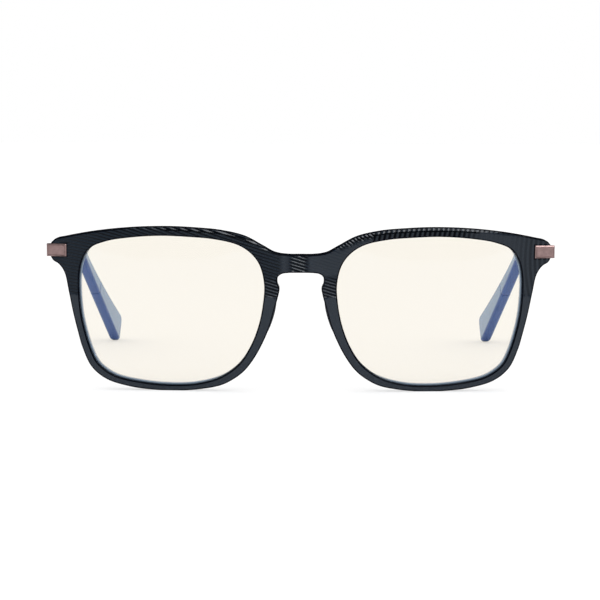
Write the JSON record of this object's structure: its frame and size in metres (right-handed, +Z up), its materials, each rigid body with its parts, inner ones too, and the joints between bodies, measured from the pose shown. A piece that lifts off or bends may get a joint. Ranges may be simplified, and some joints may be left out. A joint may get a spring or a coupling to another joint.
{
  "type": "spectacles",
  "caption": "Full-rim spectacles with light-filtering plano lenses, grooved dark front, metal corner plates, slim folding metal temples and blue tips.",
  "frame": {"origin": "middle of the footprint, on the table that the rims and the temple tips stand on", "axes": "+Z up, the front faces -Y, +X towards the wearer's left temple"},
  "size_m": [0.1418, 0.1456, 0.0455],
  "materials": {
    "navy_plastic": "satin, engraved on the upper half",
    "lens": "clear with a faint warm tint and a blue residual reflection",
    "gunmetal": "brushed rose-grey plating",
    "steel": "bright, fine turned",
    "blue_plastic": "translucent slate blue, polished"
  },
  "bodies": {
    "front": {"front_frame": "navy_plastic", "lens_left": "lens", "lens_right": "lens", "nose_pad_left": "navy_plastic", "nose_pad_right": "navy_plastic", "end_piece_left": "gunmetal", "end_piece_right": "gunmetal", "rivet_inner_left": "steel", "rivet_inner_right": "steel", "rivet_outer_left": "steel", "rivet_outer_right": "steel", "hinge_front_leaf_left": "steel", "hinge_front_leaf_right": "steel", "hinge_screw_left": "steel", "hinge_screw_right": "steel"},
    "temple_left": {"hinge_temple_leaf_left": "steel", "temple_arm_left": "gunmetal", "temple_sleeve_left": "blue_plastic", "ear_grip_left": "blue_plastic"},
    "temple_right": {"hinge_temple_leaf_right": "steel", "temple_arm_right": "gunmetal", "temple_sleeve_right": "blue_plastic", "ear_grip_right": "blue_plastic"}
  },
  "joints": [
    {"name": "fold_left", "type": "hinge", "parent": "front", "child": "temple_left", "pos_m": [0.06675, -0.05781, 0.03819], "axis": [0, 0.0523, 0.9986], "range_deg": [0, 88]},
    {"name": "fold_right", "type": "hinge", "parent": "front", "child": "temple_right", "pos_m": [-0.06675, -0.05781, 0.03819], "axis": [0, -0.0523, -0.9986], "range_deg": [0, 82]}
  ]
}
